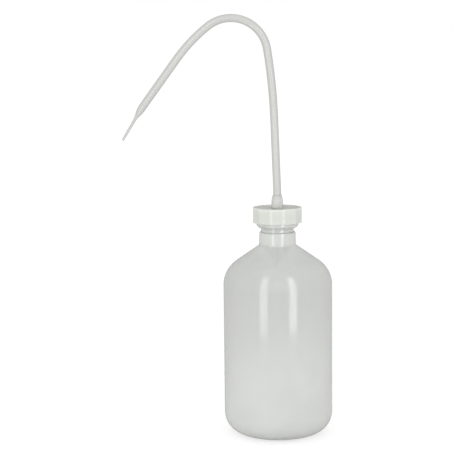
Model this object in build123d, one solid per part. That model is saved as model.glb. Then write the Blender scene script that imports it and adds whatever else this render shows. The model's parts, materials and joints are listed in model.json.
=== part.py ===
"""Wash bottle: a soft squeeze bottle, a twelve-sided screw cap, a bent spout with a fine jet, a dip tube.

Millimetres, +Z up. The origin is on the bottle's axis, in the plane that it stands on.
The spout points towards -X.
"""

from build123d import *

import math
import os

# Bottle body, blow-moulded in one piece with its neck
BODY_RADIUS = 39.0
BODY_WALL = 1.1
HEEL_RADIUS = 15.0
STANDING_RING_WIDTH = 3.0
PUSH_UP = 3.0
PINCH_OFF_LENGTH = 30.0
PINCH_OFF_WIDTH = 1.2
PINCH_OFF_HEIGHT = 0.6
SHOULDER_START = 108.0
SHOULDER_RADIUS = 21.0
SHOULDER_SLOPE = 34.8
NECK_FOOT_FILLET = 1.5

# Neck: a plain collar, then the threaded finish that the cap screws on
COLLAR_RADIUS = 13.0
COLLAR_HEIGHT = 8.5
COLLAR_ROUND = 0.8
NECK_RADIUS = 11.7
NECK_WALL = 1.6
NECK_LENGTH = 15.0
RIM_BEVEL = 0.4

# Thread, one start, shared by the neck and the cap
THREAD_PITCH = 3.0
THREAD_TURNS = 1.5
THREAD_HEIGHT = 0.9
THREAD_ROOT_WIDTH = 1.5
THREAD_CREST_WIDTH = 0.7
THREAD_SINK = 0.3
THREAD_CLEARANCE = 0.4
THREAD_BELOW_RIM = 2.2

# Screw cap, injection-moulded in one piece with its boss, sealing lip and sockets
GRIP_SIDES = 12
GRIP_HALF_WIDTH = 17.3
GRIP_CORNER_ROUND = 5.0
CAP_EDGE_BEVEL = 0.5
SKIRT_RADIUS = 14.9
SKIRT_HEIGHT = 3.6
SKIRT_BEVEL = 1.5
SKIRT_GAP = 3.2
CAP_TOP_WALL = 2.2
TOP_RECESS_RADIUS = 14.2
TOP_RECESS_DEPTH = 0.4
BOSS_RADIUS = 4.15
BOSS_HEIGHT = 8.6
BOSS_TAPER_HEIGHT = 4.0
BOSS_TOP_WALL = 0.5
LIP_DEPTH = 3.0
LIP_WALL = 1.1
LIP_CLEARANCE = 0.3
SOCKET_WALL = 1.3
SOCKET_DEPTH = 9.0
SOCKET_STOP = 1.6

# Tubes: the spout turns in the boss with a running fit, and the dip tube sits in the socket below
TUBE_RADIUS = 2.8
TUBE_BORE_RADIUS = 1.9
TUBE_FIT = 0.05
DIP_TUBE_END_GAP = 4.0

# Spout route: a slight set above the boss, a rise, a slow lean, the crook, an easing arc,
# a straight run and the drawn jet
SPOUT_CLEAR_LENGTH = 1.0
SET_RADIUS = 100.0
SET_ANGLE = 2.0
SPOUT_RISE_LENGTH = 49.4
LEAN_RADIUS = 414.0
LEAN_ANGLE = 6.9
CROOK_RADIUS = 26.0
CROOK_ANGLE = 118.7
EASE_RADIUS = 115.0
EASE_ANGLE = 16.0
SPOUT_STRAIGHT_LENGTH = 36.9
TAPER_LENGTH = 15.0
TAPER_ANGLE = 5.0
TAPER_SECTIONS = 7
TAPER_LATENESS = 2.2
JET_ROOT_RADIUS = 1.1
JET_TIP_RADIUS = 0.85
JET_ROOT_BORE_RADIUS = 0.6
JET_TIP_BORE_RADIUS = 0.45
JET_LENGTH = 17.6

SLOPE = math.radians(SHOULDER_SLOPE)
QUARTER_TURN = 90.0
HALF_TURN = 180.0
UPRIGHT = (Align.CENTER, Align.CENTER, Align.MIN)


def round_bar(radius, bottom, top):
    """Solid cylinder on the bottle's axis, between two levels."""
    return Pos(0, 0, bottom) * Cylinder(radius, top - bottom, align=UPRIGHT)


def cone_run(inset, throat_radius):
    """Length of the straight shoulder cone between its large arc and the fillet at the neck's foot."""
    arc_radius = SHOULDER_RADIUS - inset
    arc_end = BODY_RADIUS - SHOULDER_RADIUS + arc_radius * math.sin(SLOPE)
    fillet_start = throat_radius + (NECK_FOOT_FILLET + inset) * (1 - math.sin(SLOPE))
    return (arc_end - fillet_start) / math.cos(SLOPE)


def neck_foot_level():
    """Height at which the shoulder has turned up into the collar."""
    arc_rise = SHOULDER_RADIUS * math.cos(SLOPE)
    cone_rise = cone_run(0, COLLAR_RADIUS) * math.sin(SLOPE)
    return SHOULDER_START + arc_rise + cone_rise + NECK_FOOT_FILLET * math.cos(SLOPE)


# Levels along the bottle's axis
COLLAR_TOP = neck_foot_level() + COLLAR_HEIGHT
RIM_LEVEL = COLLAR_TOP + NECK_LENGTH
THREAD_START = RIM_LEVEL - THREAD_BELOW_RIM - THREAD_PITCH * THREAD_TURNS
SKIRT_BOTTOM = COLLAR_TOP + SKIRT_GAP
GRIP_BOTTOM = SKIRT_BOTTOM + SKIRT_HEIGHT
CAP_CEILING = RIM_LEVEL
CAP_TOP = CAP_CEILING + CAP_TOP_WALL + TOP_RECESS_DEPTH
BOSS_TOP = CAP_TOP + BOSS_HEIGHT
STOP_BOTTOM = CAP_CEILING - SOCKET_STOP
STOP_TOP = CAP_CEILING
SOCKET_BOTTOM = CAP_CEILING - SOCKET_DEPTH
NECK_BORE_RADIUS = NECK_RADIUS - NECK_WALL
CAP_BORE_RADIUS = NECK_RADIUS + THREAD_HEIGHT + THREAD_CLEARANCE


def vessel(inset, throat_radius, top_level):
    """The bottle's form as a full body of revolution, drawn in from its skin by inset."""
    ring_outer = BODY_RADIUS - HEEL_RADIUS
    ring_inner = ring_outer - STANDING_RING_WIDTH
    with BuildPart() as body:
        with BuildSketch(Plane.XZ):
            with BuildLine():
                base = TangentArc((0, PUSH_UP + inset), (ring_inner, inset), tangent=(1, 0))
                ring = Line(base @ 1, (ring_outer, inset))
                heel = JernArc(ring @ 1, (1, 0), HEEL_RADIUS - inset, QUARTER_TURN)
                side = Line(heel @ 1, (BODY_RADIUS - inset, SHOULDER_START))
                shoulder = JernArc(side @ 1, (0, 1), SHOULDER_RADIUS - inset, QUARTER_TURN - SHOULDER_SLOPE)
                cone = PolarLine(shoulder @ 1, cone_run(inset, throat_radius), direction=shoulder % 1)
                foot = JernArc(cone @ 1, cone % 1, NECK_FOOT_FILLET + inset, SHOULDER_SLOPE - QUARTER_TURN)
                throat = Line(foot @ 1, (throat_radius, top_level))
                top = Line(throat @ 1, (0, top_level))
                Line(top @ 1, base @ 0)
            make_face()
        revolve(axis=Axis.Z)
    return body.part


def thread_ridge(wall_radius, inwards, start_level):
    """One helical ridge, standing out of a wall of the given radius or in from it."""
    side = -1 if inwards else 1
    path = Pos(0, 0, start_level) * Helix(THREAD_PITCH, THREAD_PITCH * THREAD_TURNS, wall_radius)
    section_plane = Plane(origin=path @ 0, x_dir=(side, 0, 0), z_dir=path % 0)
    flank = (THREAD_ROOT_WIDTH - THREAD_CREST_WIDTH) / 2 / THREAD_HEIGHT
    sunk_half = THREAD_ROOT_WIDTH / 2 + flank * THREAD_SINK
    crest_half = THREAD_CREST_WIDTH / 2
    corners = [
        (-THREAD_SINK, -sunk_half),
        (THREAD_HEIGHT, -crest_half),
        (THREAD_HEIGHT, crest_half),
        (-THREAD_SINK, sunk_half),
    ]
    section = section_plane * make_face(Polyline(*corners, close=True))
    return sweep(section, path=path, is_frenet=True)


def make_bottle():
    """Blow-moulded bottle: body, shoulder, collar and threaded neck with a wall all round."""
    outside = vessel(0, COLLAR_RADIUS, COLLAR_TOP)
    outside = fillet(outside.edges().group_by(Axis.Z)[-1], COLLAR_ROUND)
    neck = round_bar(NECK_RADIUS, COLLAR_TOP, RIM_LEVEL)
    neck = chamfer(neck.edges().group_by(Axis.Z)[-1], RIM_BEVEL)
    inside = vessel(BODY_WALL, NECK_BORE_RADIUS, RIM_LEVEL)
    pinch_off = Pos(0, 0, PUSH_UP - PINCH_OFF_HEIGHT) * Box(
        PINCH_OFF_LENGTH,
        PINCH_OFF_WIDTH,
        PINCH_OFF_HEIGHT + BODY_WALL / 2,
        align=UPRIGHT,
    )
    thread = thread_ridge(NECK_RADIUS, False, THREAD_START)
    return outside + pinch_off + neck + thread - inside


def grip_outline():
    """Plan of the cap's grip: flat sides with softly rounded corners, one side square to the front."""
    with BuildSketch() as plan:
        RegularPolygon(GRIP_HALF_WIDTH, GRIP_SIDES, major_radius=False, rotation=HALF_TURN / GRIP_SIDES)
        fillet(plan.vertices(), GRIP_CORNER_ROUND)
    return plan.sketch


def make_screw_cap():
    """Injection-moulded cap: flat-sided grip, plain skirt, boss, sealing lip, sockets and inner thread."""
    grip = Pos(0, 0, GRIP_BOTTOM) * extrude(grip_outline(), CAP_TOP - GRIP_BOTTOM)
    grip = chamfer(grip.edges().group_by(Axis.Z)[-1], CAP_EDGE_BEVEL)
    skirt = round_bar(SKIRT_RADIUS, SKIRT_BOTTOM, GRIP_BOTTOM)
    skirt = chamfer(skirt.edges().group_by(Axis.Z)[0], SKIRT_BEVEL)
    recess = round_bar(TOP_RECESS_RADIUS, CAP_TOP - TOP_RECESS_DEPTH, CAP_TOP)
    neck_room = round_bar(CAP_BORE_RADIUS, SKIRT_BOTTOM, CAP_CEILING)
    boss_shoulder = BOSS_TOP - BOSS_TAPER_HEIGHT
    boss = round_bar(BOSS_RADIUS, CAP_CEILING, boss_shoulder)
    boss_rim_radius = TUBE_RADIUS + BOSS_TOP_WALL
    boss += Pos(0, 0, boss_shoulder) * Cone(BOSS_RADIUS, boss_rim_radius, BOSS_TAPER_HEIGHT, align=UPRIGHT)
    socket = round_bar(TUBE_RADIUS + SOCKET_WALL, SOCKET_BOTTOM, CAP_CEILING)
    lip_radius = NECK_BORE_RADIUS - LIP_CLEARANCE
    lip = round_bar(lip_radius, CAP_CEILING - LIP_DEPTH, CAP_CEILING)
    lip -= round_bar(lip_radius - LIP_WALL, CAP_CEILING - LIP_DEPTH, CAP_CEILING)
    cap = grip + skirt - recess - neck_room + boss + socket + lip
    tube_seat_radius = TUBE_RADIUS + TUBE_FIT
    cap -= round_bar(tube_seat_radius, STOP_TOP, BOSS_TOP)
    cap -= round_bar(TUBE_BORE_RADIUS, STOP_BOTTOM, STOP_TOP)
    cap -= round_bar(tube_seat_radius, SOCKET_BOTTOM, STOP_BOTTOM)
    return cap + thread_ridge(CAP_BORE_RADIUS, True, THREAD_START - THREAD_PITCH / 2)


def spout_route():
    """Centre line of the spout's full-width tube, as tangent runs and arcs in the XZ plane."""
    with BuildLine(Plane.XZ) as route:
        seated = Line((0, STOP_TOP), (0, BOSS_TOP + SPOUT_CLEAR_LENGTH))
        tilt = JernArc(seated @ 1, seated % 1, SET_RADIUS, SET_ANGLE)
        rise = PolarLine(tilt @ 1, SPOUT_RISE_LENGTH, direction=tilt % 1)
        lean = JernArc(rise @ 1, rise % 1, LEAN_RADIUS, LEAN_ANGLE)
        crook = JernArc(lean @ 1, lean % 1, CROOK_RADIUS, CROOK_ANGLE)
        ease = JernArc(crook @ 1, crook % 1, EASE_RADIUS, EASE_ANGLE)
        PolarLine(ease @ 1, SPOUT_STRAIGHT_LENGTH, direction=ease % 1)
    return route.wire()


def round_section(path, share, radius):
    """Disc square to a path, at a share of its length."""
    return Plane(origin=path @ share, x_dir=(0, 1, 0), z_dir=path % share) * Circle(radius)


def drawn_taper(path, start_radius, end_radius):
    """The softened tube drawn down: round sections that shrink late, and ease into the jet."""
    sections = []
    for index in range(TAPER_SECTIONS):
        share = index / (TAPER_SECTIONS - 1)
        drawn = (1 - math.cos(math.pi * share**TAPER_LATENESS)) / 2
        radius = start_radius - (start_radius - end_radius) * drawn
        sections.append(round_section(path, share, radius))
    return loft(sections)


def fine_jet(path, root_radius, tip_radius):
    """Slightly conical capillary along a straight path."""
    return loft([round_section(path, 0, root_radius), round_section(path, 1, tip_radius)])


def make_spout_tube():
    """Bent delivery tube with its end drawn to a fine jet, bored right through."""
    route = spout_route()
    tube_section = round_section(route, 0, TUBE_RADIUS) - round_section(route, 0, TUBE_BORE_RADIUS)
    tube = sweep(tube_section, path=route)
    taper_radius = TAPER_LENGTH / math.radians(TAPER_ANGLE)
    with BuildLine(Plane.XZ):
        taper_path = JernArc(route @ 1, route % 1, taper_radius, TAPER_ANGLE)
        jet_path = PolarLine(taper_path @ 1, JET_LENGTH, direction=taper_path % 1)
    skin = drawn_taper(taper_path, TUBE_RADIUS, JET_ROOT_RADIUS)
    skin += fine_jet(jet_path, JET_ROOT_RADIUS, JET_TIP_RADIUS)
    bore = drawn_taper(taper_path, TUBE_BORE_RADIUS, JET_ROOT_BORE_RADIUS)
    bore += fine_jet(jet_path, JET_ROOT_BORE_RADIUS, JET_TIP_BORE_RADIUS)
    return tube + (skin - bore)


def make_dip_tube():
    """Straight tube from the cap's socket down to just above the bottle's floor."""
    foot_level = PUSH_UP + BODY_WALL + DIP_TUBE_END_GAP
    section = Circle(TUBE_RADIUS) - Circle(TUBE_BORE_RADIUS)
    return Pos(0, 0, foot_level) * extrude(section, STOP_BOTTOM - foot_level)


PARTS = {
    "bottle": make_bottle,
    "screw_cap": make_screw_cap,
    "spout_tube": make_spout_tube,
    "dip_tube": make_dip_tube,
}

os.makedirs("parts", exist_ok=True)
for name, make in PARTS.items():
    export_step(make(), f"parts/{name}.step")
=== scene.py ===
"""A squeeze wash bottle of milky soft plastic, dressed for a plain studio picture.

Metres, +Z up, origin on the bottle's axis in the plane that it stands on. The spout points towards -X.
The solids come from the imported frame. This script gives them their finishes, adds the fine mould lines,
and sets the floor, the light and the camera.
"""

from __future__ import annotations

import json
import logging
import math
from dataclasses import asdict, dataclass, field
from enum import Enum
from typing import Any

import bmesh
import bpy
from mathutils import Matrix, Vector

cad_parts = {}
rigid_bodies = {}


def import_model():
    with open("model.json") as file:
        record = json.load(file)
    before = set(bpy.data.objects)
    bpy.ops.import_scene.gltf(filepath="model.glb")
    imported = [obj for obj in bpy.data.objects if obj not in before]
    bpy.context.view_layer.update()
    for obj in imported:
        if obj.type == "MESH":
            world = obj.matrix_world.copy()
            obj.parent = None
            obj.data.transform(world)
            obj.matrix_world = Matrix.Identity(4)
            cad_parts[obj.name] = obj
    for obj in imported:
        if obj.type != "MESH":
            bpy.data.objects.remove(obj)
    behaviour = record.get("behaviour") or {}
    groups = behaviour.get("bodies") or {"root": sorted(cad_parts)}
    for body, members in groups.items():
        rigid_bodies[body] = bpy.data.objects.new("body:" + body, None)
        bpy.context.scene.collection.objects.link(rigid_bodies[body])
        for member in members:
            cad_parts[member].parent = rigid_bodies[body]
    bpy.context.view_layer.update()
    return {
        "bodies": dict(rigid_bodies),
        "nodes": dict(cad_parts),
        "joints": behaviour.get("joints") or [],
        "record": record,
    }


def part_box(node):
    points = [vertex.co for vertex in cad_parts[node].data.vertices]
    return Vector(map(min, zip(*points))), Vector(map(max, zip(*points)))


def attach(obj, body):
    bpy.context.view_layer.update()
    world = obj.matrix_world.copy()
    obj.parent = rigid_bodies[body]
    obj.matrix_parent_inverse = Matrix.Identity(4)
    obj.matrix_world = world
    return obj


LOG = logging.getLogger("wash_bottle")

Frame = dict[str, Any]
Socket = bpy.types.NodeSocket
Colour = tuple[float, float, float, float]
Point = tuple[float, float, float]

WHITE: Colour = (1.0, 1.0, 1.0, 1.0)
PLASTIC_IOR = 1.51
# Red, green and blue light soak into the plastic equally far.
EVEN_SOAK = (1.0, 1.0, 1.0)
# A mix node has sockets of the same names for each kind of value. These are the places of its share and
# its two colours among its inputs, and of the mixed colour among its outputs.
COLOUR_MIX_INPUTS = (0, 6, 7)
COLOUR_MIX_OUTPUT = 2
# With no rotation a camera looks straight down, so a level look is a quarter turn, in degrees.
LEVEL_LOOK = 90.0
BOTTLE_BODY = "bottle"


class Solid(Enum):
    """The solids of the frame, by the names of their nodes."""

    BOTTLE = "bottle"
    SCREW_CAP = "screw_cap"
    SPOUT_TUBE = "spout_tube"
    DIP_TUBE = "dip_tube"


class Side(Enum):
    """The two sides of the mould, and of the camera, as signs along X."""

    LEFT = -1
    RIGHT = 1


class SocketKind(Enum):
    """The kinds of socket that a node group's interface has."""

    FLOAT = "NodeSocketFloat"
    COLOUR = "NodeSocketColor"


@dataclass
class NodeSheet:
    """Small helper that places nodes in one tree and wires them.

    Attributes:
        tree: the node tree that is being filled.
    """

    tree: bpy.types.NodeTree

    def add(self, kind: str, **values: object) -> bpy.types.Node:
        """Adds one node and sets its plain properties.

        Args:
            kind: the node's type, such as "ShaderNodeMath".
            **values: properties to set on the node.

        Returns:
            The new node.
        """
        node = self.tree.nodes.new(kind)
        for name, value in values.items():
            setattr(node, name, value)
        return node

    def wire(self, source: Socket, target: Socket) -> None:
        """Links one output to one input."""
        self.tree.links.new(source, target)

    def place_and_axes(self) -> tuple[Socket, bpy.types.bpy_prop_collection]:
        """Reads where a point lies in the frame.

        Returns:
            The place as a vector, and its outputs X, Y and Z as values.
        """
        place = self.add("ShaderNodeTexCoord").outputs["Object"]
        axes = self.add("ShaderNodeSeparateXYZ")
        self.wire(place, axes.inputs["Vector"])
        return place, axes.outputs

    def noise(self, place: Socket, scale: Socket, detail: float, rough: float) -> Socket:
        """Adds a noise texture.

        Args:
            place: the vector that it is read at.
            scale: cells per metre.
            detail: number of octaves.
            rough: share that each octave adds.

        Returns:
            The noise as a value from 0 to 1.
        """
        node = self.add("ShaderNodeTexNoise", noise_dimensions="3D")
        self.wire(place, node.inputs["Vector"])
        self.wire(scale, node.inputs["Scale"])
        node.inputs["Detail"].default_value = detail
        node.inputs["Roughness"].default_value = rough
        return node.outputs["Fac"]

    def smooth_step(self, value: Socket, low: Socket | float, high: Socket | float) -> Socket:
        """Adds a smooth step that takes low to 0 and high to 1.

        Args:
            value: what is mapped.
            low: the value that becomes 0.
            high: the value that becomes 1.

        Returns:
            The mapped value.
        """
        node = self.add("ShaderNodeMapRange", interpolation_type="SMOOTHSTEP")
        self.wire(value, node.inputs["Value"])
        for name, limit in (("From Min", low), ("From Max", high)):
            if isinstance(limit, Socket):
                self.wire(limit, node.inputs[name])
            else:
                node.inputs[name].default_value = limit
        return node.outputs["Result"]

    def mix(self, share: Socket, first: Socket, second: Socket) -> Socket:
        """Mixes two colours.

        Args:
            share: 0 for the first colour, 1 for the second.
            first: the first colour.
            second: the second colour.

        Returns:
            The mixed colour.
        """
        node = self.add("ShaderNodeMix", data_type="RGBA")
        for place, source in zip(COLOUR_MIX_INPUTS, (share, first, second)):
            self.wire(source, node.inputs[place])
        return node.outputs[COLOUR_MIX_OUTPUT]

    def maths(self, operation: str, *terms: Socket) -> Socket:
        """Adds one sum.

        Args:
            operation: the kind of sum, such as "MULTIPLY".
            *terms: what goes into it, in order.

        Returns:
            The result.
        """
        node = self.add("ShaderNodeMath", operation=operation)
        for target, term in zip(node.inputs, terms):
            self.wire(term, target)
        return node.outputs["Value"]


@dataclass
class EffectGroup:
    """A node group with named inputs and outputs, shared by several finishes.

    Attributes:
        name: the group's name.
        inputs: socket type of each input, by its name.
        outputs: socket type of each output, by its name.
        tree: the group's node tree.
        sheet: the helper that fills it.
        given: the values that the group is given, by name.
        result: the sockets that it hands on, by name.
    """

    name: str
    inputs: dict[str, SocketKind]
    outputs: dict[str, SocketKind]
    tree: bpy.types.NodeTree = field(init=False)
    sheet: NodeSheet = field(init=False)
    given: bpy.types.bpy_prop_collection = field(init=False)
    result: bpy.types.bpy_prop_collection = field(init=False)

    def __post_init__(self) -> None:
        """Makes the tree and its interface."""
        self.tree = bpy.data.node_groups.new(self.name, "ShaderNodeTree")
        for direction, sockets in (("INPUT", self.inputs), ("OUTPUT", self.outputs)):
            for name, kind in sockets.items():
                self.tree.interface.new_socket(name=name, in_out=direction, socket_type=kind.value)
        self.sheet = NodeSheet(self.tree)
        self.given = self.sheet.add("NodeGroupInput").outputs
        self.result = self.sheet.add("NodeGroupOutput").inputs

    def place(self, sheet: NodeSheet, values: dict[str, Any]) -> bpy.types.bpy_prop_collection:
        """Places the group in a material with its own values.

        Args:
            sheet: the material's sheet.
            values: a value for each input, by its name in small letters with underscores for spaces.

        Returns:
            The outputs of the group's node.
        """
        node = sheet.add("ShaderNodeGroup", node_tree=self.tree)
        for name, value in values.items():
            node.inputs[name.replace("_", " ").title()].default_value = value
        return node.outputs


@dataclass(frozen=True)
class SkinRelief:
    """The relief and the gloss of a moulded or drawn skin.

    Attributes:
        ripple_scale: ripples per metre.
        ripple_height: height of the ripple, in metres.
        grain_scale: grains per metre.
        grain_height: height of the fine grain, in metres.
        stretch: how much longer the ripples are along the axis than across it.
        haze_scale: hazy patches per metre.
        gloss_roughness: roughness where the skin is glossiest.
        haze_roughness: roughness where it is haziest.
    """

    ripple_scale: float = 60.0
    ripple_height: float = 0.00001
    grain_scale: float = 2500.0
    grain_height: float = 0.000002
    stretch: float = 1.0
    haze_scale: float = 130.0
    gloss_roughness: float = 0.12
    haze_roughness: float = 0.2

    @staticmethod
    def group() -> EffectGroup:
        """Builds the skin that a cooled mould or die leaves.

        It has a slow ripple under a fine grain, and is unevenly glossy.

        Returns:
            A group that puts out a height in metres and a roughness.
        """
        group = EffectGroup(
            "moulded_skin",
            {
                "Ripple Scale": SocketKind.FLOAT,
                "Ripple Height": SocketKind.FLOAT,
                "Grain Scale": SocketKind.FLOAT,
                "Grain Height": SocketKind.FLOAT,
                "Stretch": SocketKind.FLOAT,
                "Haze Scale": SocketKind.FLOAT,
                "Gloss Roughness": SocketKind.FLOAT,
                "Haze Roughness": SocketKind.FLOAT,
            },
            {"Height": SocketKind.FLOAT, "Roughness": SocketKind.FLOAT},
        )
        sheet, given = group.sheet, group.given
        place, axes = sheet.place_and_axes()
        drawn = sheet.add("ShaderNodeCombineXYZ")
        sheet.wire(axes["X"], drawn.inputs["X"])
        sheet.wire(axes["Y"], drawn.inputs["Y"])
        sheet.wire(sheet.maths("DIVIDE", axes["Z"], given["Stretch"]), drawn.inputs["Z"])
        ripple = sheet.noise(drawn.outputs["Vector"], given["Ripple Scale"], detail=1.0, rough=0.4)
        grain = sheet.noise(place, given["Grain Scale"], detail=2.0, rough=0.5)
        ripple_height = sheet.maths("MULTIPLY", ripple, given["Ripple Height"])
        grain_height = sheet.maths("MULTIPLY", grain, given["Grain Height"])
        sheet.wire(sheet.maths("ADD", ripple_height, grain_height), group.result["Height"])
        patches = sheet.noise(place, given["Haze Scale"], detail=4.0, rough=0.6)
        haze = sheet.smooth_step(patches, low=0.3, high=0.7)
        spread = sheet.maths("SUBTRACT", given["Haze Roughness"], given["Gloss Roughness"])
        roughness = sheet.maths("MULTIPLY_ADD", haze, spread, given["Gloss Roughness"])
        sheet.wire(roughness, group.result["Roughness"])
        return group


@dataclass(frozen=True)
class MilkyCloudAndPaintedLight:
    """The uneven milkiness of unpigmented polyethylene, lightened by painted light towards its foot and its
    neck.

    The tint is lighter below one level and above another. This is partly a denser wall and partly painted
    light: a painted bounce from the floor on the lower body, and painted lightening against the shade at the
    heel and under the cap. The tint also drifts a little from place to place.

    Attributes:
        thin_tint: colour between the two levels.
        dense_tint: colour below and above them, lighter partly for a denser wall and partly as
            painted light.
        drift_tint: colour that it drifts to from place to place.
        dense_foot: level below which the tint is at its lightest, in metres.
        thin_from: level from which the middle tint holds.
        thin_to: level up to which the middle tint holds.
        dense_top: level above which the tint is at its lightest again.
        drift_scale: clouds per metre.
        drift_share: how far the colour drifts, from 0 to 1.
    """

    thin_tint: Colour
    dense_tint: Colour
    drift_tint: Colour
    dense_foot: float = 0.03
    thin_from: float = 0.11
    thin_to: float = 0.128
    dense_top: float = 0.14
    drift_scale: float = 22.0
    drift_share: float = 0.5

    @classmethod
    def even(cls, tint: Colour, drift_tint: Colour) -> MilkyCloudAndPaintedLight:
        """Gives the same tint at every level, without the painted lightening."""
        return cls(thin_tint=tint, dense_tint=tint, drift_tint=drift_tint)

    @staticmethod
    def group() -> EffectGroup:
        """Builds the milkiness, with its painted lightening towards the foot and the neck.

        Returns:
            A group that puts out a colour.
        """
        group = EffectGroup(
            "milky_cloud_and_painted_light",
            {
                "Thin Tint": SocketKind.COLOUR,
                "Dense Tint": SocketKind.COLOUR,
                "Drift Tint": SocketKind.COLOUR,
                "Dense Foot": SocketKind.FLOAT,
                "Thin From": SocketKind.FLOAT,
                "Thin To": SocketKind.FLOAT,
                "Dense Top": SocketKind.FLOAT,
                "Drift Scale": SocketKind.FLOAT,
                "Drift Share": SocketKind.FLOAT,
            },
            {"Colour": SocketKind.COLOUR},
        )
        sheet, given = group.sheet, group.given
        place, axes = sheet.place_and_axes()
        # Painted light: below the middle band the tint grows lighter for the floor's bounce and against the
        # shade at the heel, and above it against the shade under the cap. Partly this is also a denser wall.
        foot = sheet.smooth_step(axes["Z"], given["Thin From"], given["Dense Foot"])
        top = sheet.smooth_step(axes["Z"], given["Thin To"], given["Dense Top"])
        wall = sheet.mix(sheet.maths("MAXIMUM", foot, top), given["Thin Tint"], given["Dense Tint"])
        clouds = sheet.noise(place, given["Drift Scale"], detail=3.0, rough=0.5)
        drift = sheet.maths("MULTIPLY", sheet.smooth_step(clouds, low=0.35, high=0.65), given["Drift Share"])
        sheet.wire(sheet.mix(drift, wall, given["Drift Tint"]), group.result["Colour"])
        return group


@dataclass(frozen=True)
class Effects:
    """The node groups that the finishes share.

    Attributes:
        skin: relief and roughness of a moulded skin.
        cloud: milkiness of the plastic, with painted lightening by height.
    """

    skin: EffectGroup
    cloud: EffectGroup

    @classmethod
    def build(cls) -> Effects:
        """Builds each shared group once."""
        return cls(skin=SkinRelief.group(), cloud=MilkyCloudAndPaintedLight.group())


@dataclass(frozen=True)
class MilkyPlastic:
    """Unpigmented polyethylene: a milky wall that light soaks into and partly passes.

    Attributes:
        name: the material's name.
        cloud: its milkiness, with painted lightening by height.
        relief: its skin.
        veil_tint: tint of the clear outermost layer, which deepens where the wall is seen edge-on.
        veil_ior: refractive index of that layer. The nearer to 1, the longer the way through it at the edge.
        veil_roughness: roughness of that layer.
        gloss: strength of its reflections, 0.5 for a plain plastic.
        soak: share of the light that soaks in.
        soak_depth: how far it travels inside, in metres.
        clearness: share of the light that passes through the wall.
    """

    name: str
    cloud: MilkyCloudAndPaintedLight
    relief: SkinRelief
    veil_tint: Colour
    veil_ior: float = 1.01
    veil_roughness: float = 0.3
    gloss: float = 1.0
    soak: float = 0.0
    soak_depth: float = 0.003
    clearness: float = 0.0

    def material(self, effects: Effects) -> bpy.types.Material:
        """Builds the material.

        Args:
            effects: the shared node groups.

        Returns:
            The material, ready to be given to a piece.
        """
        made = bpy.data.materials.new(self.name)
        made.use_nodes = True
        sheet = NodeSheet(made.node_tree)
        sockets = made.node_tree.nodes["Principled BSDF"].inputs
        cloud = effects.cloud.place(sheet, asdict(self.cloud))
        sheet.wire(cloud["Colour"], sockets["Base Color"])
        skin = effects.skin.place(sheet, asdict(self.relief))
        sheet.wire(skin["Roughness"], sockets["Roughness"])
        # The height comes in metres, so the bump takes it at full strength over one metre.
        bump = sheet.add("ShaderNodeBump")
        bump.inputs["Strength"].default_value = 1.0
        bump.inputs["Distance"].default_value = 1.0
        sheet.wire(skin["Height"], bump.inputs["Height"])
        sheet.wire(bump.outputs["Normal"], sockets["Normal"])
        settings = {
            "IOR": PLASTIC_IOR,
            "Specular IOR Level": self.gloss,
            "Subsurface Weight": self.soak,
            "Subsurface Radius": EVEN_SOAK,
            "Subsurface Scale": self.soak_depth,
            "Transmission Weight": self.clearness,
            "Coat Weight": 1.0,
            "Coat Roughness": self.veil_roughness,
            "Coat IOR": self.veil_ior,
            "Coat Tint": self.veil_tint,
        }
        for name, value in settings.items():
            sockets[name].default_value = value
        return made


BOTTLE_FINISH = MilkyPlastic(
    name="milky_blow_moulded",
    cloud=MilkyCloudAndPaintedLight(
        thin_tint=(0.67, 0.685, 0.66, 1.0),
        # The second tint is lighter partly for a denser wall and partly as painted light: a painted floor
        # bounce low down, and painted lightening against the shade at the heel and under the cap.
        dense_tint=(0.83, 0.85, 0.815, 1.0),
        drift_tint=(0.72, 0.73, 0.71, 1.0),
    ),
    relief=SkinRelief(ripple_height=0.00005, stretch=3.0, gloss_roughness=0.1, haze_roughness=0.16),
    veil_tint=(0.92, 0.92, 0.918, 1.0),
    soak=0.5,
    clearness=0.06,
)
CAP_FINISH = MilkyPlastic(
    name="dense_white_moulding",
    cloud=MilkyCloudAndPaintedLight.even((0.775, 0.795, 0.745, 1.0), drift_tint=(0.80, 0.81, 0.775, 1.0)),
    relief=SkinRelief(gloss_roughness=0.2, haze_roughness=0.28),
    veil_tint=(0.9, 0.9, 0.897, 1.0),
    soak=1.0,
)
TUBE_FINISH = MilkyPlastic(
    name="milky_drawn_tube",
    cloud=MilkyCloudAndPaintedLight.even((0.69, 0.695, 0.67, 1.0), drift_tint=(0.72, 0.72, 0.71, 1.0)),
    relief=SkinRelief(),
    veil_tint=(0.85, 0.85, 0.846, 1.0),
)


@dataclass
class SolidPiece:
    """A piece whose solid comes from the frame and gets its finish here.

    Attributes:
        solid: its solid.
        finish: what it is made of.
    """

    solid: Solid
    finish: MilkyPlastic

    def dress(self, frame: Frame, effects: Effects) -> None:
        """Gives the whole solid its finish.

        Args:
            frame: the loaded frame.
            effects: the shared node groups.
        """
        mesh = frame["nodes"][self.solid.value].data
        mesh.materials.clear()
        mesh.materials.append(self.finish.material(effects))
        LOG.info("%s wears %s", self.solid.value, self.finish.name)


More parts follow.
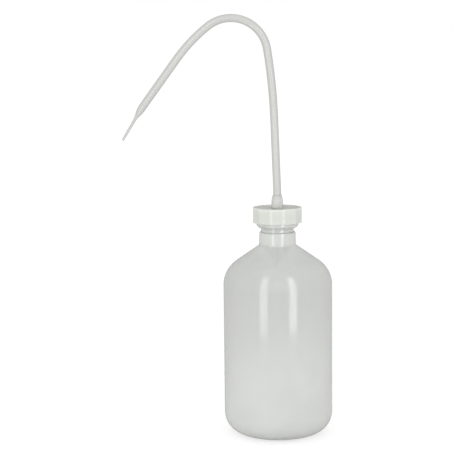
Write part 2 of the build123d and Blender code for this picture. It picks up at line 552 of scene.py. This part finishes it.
@dataclass
class PartingLine:
    """The fine raised line that the two halves of the blow mould leave up one side of the bottle.

    Attributes:
        side: the side that it runs up.
        width: its width where it leaves the skin, in metres.
        crest_width: its width at the top.
        height: how far it stands out of the skin.
        root: how far its edges sink into the skin.
        lowest: level at which it starts, on the heel.
        below_rim: how far under the neck's rim it ends.
        step: rise from one section to the next.
        fade: length over which it sinks into the skin at its ends.
    """

    side: Side
    width: float = 0.00045
    crest_width: float = 0.00015
    height: float = 0.00009
    root: float = 0.00006
    lowest: float = 0.0015
    below_rim: float = 0.0157
    step: float = 0.0008
    fade: float = 0.006

    def build(self, frame: Frame) -> bpy.types.Object:
        """Builds the line on the bottle's skin and lets it ride with the bottle.

        Args:
            frame: the loaded frame, with the bottle dressed.

        Returns:
            The line's object.
        """
        bottle = frame["nodes"][Solid.BOTTLE.value]
        sections = self.sections(self.skin_route(bottle))
        mesh = bpy.data.meshes.new(f"parting_line_{self.side.name.lower()}")
        self.join_sections(sections, mesh)
        mesh.materials.append(bottle.active_material)
        line = bpy.data.objects.new(mesh.name, mesh)
        bpy.context.scene.collection.objects.link(line)
        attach(line, BOTTLE_BODY)
        LOG.info("%s has %d sections", line.name, len(sections))
        return line

    def skin_route(self, bottle: bpy.types.Object) -> list[Vector]:
        """Finds the skin at each level by looking in at the bottle from its side.

        Args:
            bottle: the bottle's solid.

        Returns:
            Points on the skin, from the heel up.
        """
        low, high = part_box(Solid.BOTTLE.value)
        outside = self.side.value * (high[0] - low[0])
        inwards = Vector((-self.side.value, 0.0, 0.0))
        steps = round((high[2] - self.below_rim - self.lowest) / self.step)
        points = []
        for index in range(steps + 1):
            level = self.lowest + index * self.step
            found, point, _, _ = bottle.ray_cast(Vector((outside, 0.0, level)), inwards)
            if found:
                points.append(point)
        return points

    def sections(self, route: list[Vector]) -> list[list[Vector]]:
        """Works out the line's cross-section at each point of its route.

        Args:
            route: points on the skin.

        Returns:
            Four corners for each point.
        """
        across = Vector((0.0, 1.0, 0.0))
        made = []
        for index, point in enumerate(route):
            before = route[max(index - 1, 0)]
            after = route[min(index + 1, len(route) - 1)]
            out = across.cross(after - before).normalized()
            if out.x * self.side.value <= 0.0:
                out.negate()
            from_end = min((point - route[0]).length, (route[-1] - point).length)
            share = min(from_end / self.fade, 1.0)
            crest = point + out * (self.height * share - self.root * (1.0 - share))
            foot = point - out * self.root
            made.append(
                [
                    foot - across * self.width / 2,
                    crest - across * self.crest_width / 2,
                    crest + across * self.crest_width / 2,
                    foot + across * self.width / 2,
                ]
            )
        return made

    def join_sections(self, sections: list[list[Vector]], mesh: bpy.types.Mesh) -> None:
        """Joins the cross-sections to one closed skin.

        Args:
            sections: four corners for each cross-section, from the lowest up.
            mesh: the mesh that takes the skin.
        """
        shape = bmesh.new()
        rings = [[shape.verts.new(corner) for corner in section] for section in sections]
        for lower, upper in zip(rings, rings[1:]):
            for index, corner in enumerate(lower):
                shape.faces.new((corner, lower[index - 1], upper[index - 1], upper[index]))
        shape.faces.new(rings[0])
        shape.faces.new(reversed(rings[-1]))
        bmesh.ops.recalc_face_normals(shape, faces=shape.faces)
        shape.to_mesh(mesh)
        shape.free()


@dataclass(frozen=True)
class PaleFloor:
    """The floor's finish, which keeps a soft shadow and otherwise joins the white surround.

    Attributes:
        tint: its colour, as it lights the object.
        seen_tint: its colour where it is seen, which keeps the shadow.
        lift: light that it adds where it is seen.
    """

    tint: Colour = (0.9, 0.9, 0.9, 1.0)
    seen_tint: Colour = (0.35, 0.35, 0.35, 1.0)
    lift: float = 0.69

    def material(self) -> bpy.types.Material:
        """Builds the material.

        Returns:
            The material, ready to be given to the floor.
        """
        made = bpy.data.materials.new("pale_floor")
        made.use_nodes = True
        nodes = made.node_tree.nodes
        nodes.remove(nodes["Principled BSDF"])
        sheet = NodeSheet(made.node_tree)
        lift = sheet.add("ShaderNodeEmission")
        lift.inputs["Strength"].default_value = self.lift
        lifted = sheet.add("ShaderNodeAddShader")
        sheet.wire(self.matte(sheet, self.seen_tint), lifted.inputs[0])
        sheet.wire(lift.outputs[0], lifted.inputs[1])
        surface = sheet.add("ShaderNodeMixShader")
        sources = (self.is_seen(sheet), self.matte(sheet, self.tint), lifted.outputs[0])
        for source, target in zip(sources, surface.inputs):
            sheet.wire(source, target)
        sheet.wire(surface.outputs[0], nodes["Material Output"].inputs["Surface"])
        return made

    def matte(self, sheet: NodeSheet, tint: Colour) -> Socket:
        """Adds a matte surface.

        Args:
            sheet: the material's sheet.
            tint: its colour.

        Returns:
            The surface's shader.
        """
        node = sheet.add("ShaderNodeBsdfDiffuse")
        node.inputs["Color"].default_value = tint
        return node.outputs[0]

    def is_seen(self, sheet: NodeSheet) -> Socket:
        """Tells the rays that look at the floor from those that only light with it.

        Args:
            sheet: the material's sheet.

        Returns:
            1 for a ray from the camera, or one that a glossy or a clear surface passes on, else 0.
        """
        path = sheet.add("ShaderNodeLightPath").outputs
        passed_on = sheet.maths("MAXIMUM", path["Is Glossy Ray"], path["Is Transmission Ray"])
        return sheet.maths("MAXIMUM", path["Is Camera Ray"], passed_on)


@dataclass
class Studio:
    """A pale floor, a white surround, wide soft lamps above and in front, and two tall narrow ones.

    Attributes:
        floor: the floor's finish.
        floor_radius: radius of the round floor.
        floor_segments: number of straight edges that it is drawn with.
        floor_drop: how far it lies under the plane that the bottle stands on.
        surround: strength of the surround's light on the object.
        aim_height: height on the bottle's axis that the wide lamps face.
        overhead_size: side of the square lamp above.
        overhead_height: its height.
        overhead_forward: how far in front of the bottle's axis it hangs.
        overhead_watts: its power.
        fill_size: side of the square lamp behind the camera.
        fill_distance: its distance from the bottle's axis.
        fill_watts: its power.
        strip_width: width of a tall lamp.
        strip_height: height of a tall lamp.
        strip_foot: height of its lower end.
        strip_distance: its distance from the bottle's axis.
        strip_angles: angles of the left and the right lamp from the camera, in degrees.
        strip_watts: power of the left and the right lamp.
    """

    floor: PaleFloor = PaleFloor()
    floor_radius: float = 6.0
    floor_segments: int = 96
    floor_drop: float = 0.0001
    surround: float = 1.0
    aim_height: float = 0.1
    overhead_size: float = 1.4
    overhead_height: float = 1.5
    overhead_forward: float = 0.2
    overhead_watts: float = 1.0
    fill_size: float = 1.2
    fill_distance: float = 1.5
    fill_watts: float = 2.0
    strip_width: float = 0.085
    strip_height: float = 0.45
    strip_foot: float = 0.02
    strip_distance: float = 0.33
    strip_angles: tuple[float, float] = (28.3, 30.3)
    strip_watts: tuple[float, float] = (0.24, 0.29)

    def build(self) -> None:
        """Builds the floor, the surround and the lamps."""
        self.lay_floor()
        self.light_surround()
        self.hang_overhead()
        self.stand_fill()
        for side, angle, watts in zip(Side, self.strip_angles, self.strip_watts):
            self.stand_strip(side, math.radians(angle), watts)
        LOG.info("studio set")

    def lay_floor(self) -> None:
        """Lays the round pale floor."""
        shape = bmesh.new()
        bmesh.ops.create_circle(shape, cap_ends=True, segments=self.floor_segments, radius=self.floor_radius)
        mesh = bpy.data.meshes.new("floor")
        shape.to_mesh(mesh)
        shape.free()
        mesh.materials.append(self.floor.material())
        floor = bpy.data.objects.new("floor", mesh)
        floor.location.z = -self.floor_drop
        bpy.context.scene.collection.objects.link(floor)

    def light_surround(self) -> None:
        """Fills the world with an even white."""
        world = bpy.data.worlds.new("white_surround")
        bpy.context.scene.world = world
        world.use_nodes = True
        plain = world.node_tree.nodes["Background"]
        plain.inputs["Color"].default_value = WHITE
        plain.inputs["Strength"].default_value = self.surround

    def hang_overhead(self) -> None:
        """Hangs the wide soft lamp above the bottle."""
        size = (self.overhead_size, self.overhead_size)
        place = (0.0, -self.overhead_forward, self.overhead_height)
        self.lamp("overhead", self.overhead_watts, size, place, self.aim_height)

    def stand_fill(self) -> None:
        """Stands the wide soft lamp behind the camera, which lights what faces the front."""
        size = (self.fill_size, self.fill_size)
        place = (0.0, -self.fill_distance, self.fill_size / 2)
        self.lamp("fill", self.fill_watts, size, place, self.aim_height)

    def stand_strip(self, side: Side, angle: float, watts: float) -> None:
        """Stands one tall narrow lamp beside the camera's line of sight. It shows in the gloss alone.

        Args:
            side: the side of the camera that it stands on.
            angle: its angle from the camera, in radians.
            watts: its power.
        """
        across = side.value * self.strip_distance * math.sin(angle)
        towards = -self.strip_distance * math.cos(angle)
        middle = self.strip_foot + self.strip_height / 2
        size = (self.strip_width, self.strip_height)
        name = f"strip_{side.name.lower()}"
        strip = self.lamp(name, watts, size, (across, towards, middle), middle)
        strip.visible_diffuse = False

    def lamp(
        self, name: str, watts: float, size: tuple[float, float], place: Point, aim_height: float
    ) -> bpy.types.Object:
        """Adds a rectangular lamp that the camera doesn't see.

        Args:
            name: the lamp's name.
            watts: its power.
            size: its width and height.
            place: where its middle is.
            aim_height: height on the bottle's axis that it faces.

        Returns:
            The lamp's object.
        """
        data = bpy.data.lights.new(name, "AREA")
        data.shape = "RECTANGLE"
        data.size, data.size_y = size
        data.energy = watts
        made = bpy.data.objects.new(name, data)
        made.location = place
        towards = Vector((0.0, 0.0, aim_height)) - Vector(place)
        made.rotation_euler = towards.to_track_quat("-Z", "Y").to_euler()
        made.visible_camera = False
        bpy.context.scene.collection.objects.link(made)
        return made


@dataclass
class Viewpoint:
    """The camera, at the photograph's angle.

    Attributes:
        distance: distance of the camera from the bottle's axis, along the floor.
        height: height above the floor.
        tilt: how far it looks down, in degrees.
        pan: how far it is turned to the left of the bottle's axis, in degrees.
        roll: how far it leans to the right, in degrees.
        sensor_width: width of its sensor, in millimetres.
        focal_length: its focal length, in millimetres.
        nearest: distance from which it sees things.
    """

    distance: float = 1.0
    height: float = 0.2808
    tilt: float = 7.46
    pan: float = 1.99
    roll: float = 0.6
    sensor_width: float = 36.0
    focal_length: float = 111.62
    nearest: float = 0.01

    def build(self) -> None:
        """Makes the camera and sets it as the scene's."""
        data = bpy.data.cameras.new("camera")
        data.sensor_width = self.sensor_width
        data.lens = self.focal_length
        data.clip_start = self.nearest
        camera = bpy.data.objects.new("camera", data)
        camera.location = (0.0, -self.distance, self.height)
        turns = (LEVEL_LOOK - self.tilt, self.roll, self.pan)
        camera.rotation_euler = [math.radians(turn) for turn in turns]
        bpy.context.scene.collection.objects.link(camera)
        bpy.context.scene.camera = camera


def main() -> None:
    """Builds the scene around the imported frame."""
    logging.basicConfig(level=logging.INFO, format="%(name)s: %(message)s")
    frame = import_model()
    bpy.context.scene.view_settings.view_transform = "Standard"
    effects = Effects.build()
    pieces = (
        SolidPiece(Solid.BOTTLE, BOTTLE_FINISH),
        SolidPiece(Solid.SCREW_CAP, CAP_FINISH),
        SolidPiece(Solid.SPOUT_TUBE, TUBE_FINISH),
        SolidPiece(Solid.DIP_TUBE, TUBE_FINISH),
    )
    for piece in pieces:
        piece.dress(frame, effects)
    for side in Side:
        PartingLine(side).build(frame)
    Studio().build()
    Viewpoint().build()


if __name__ == "__main__":
    main()
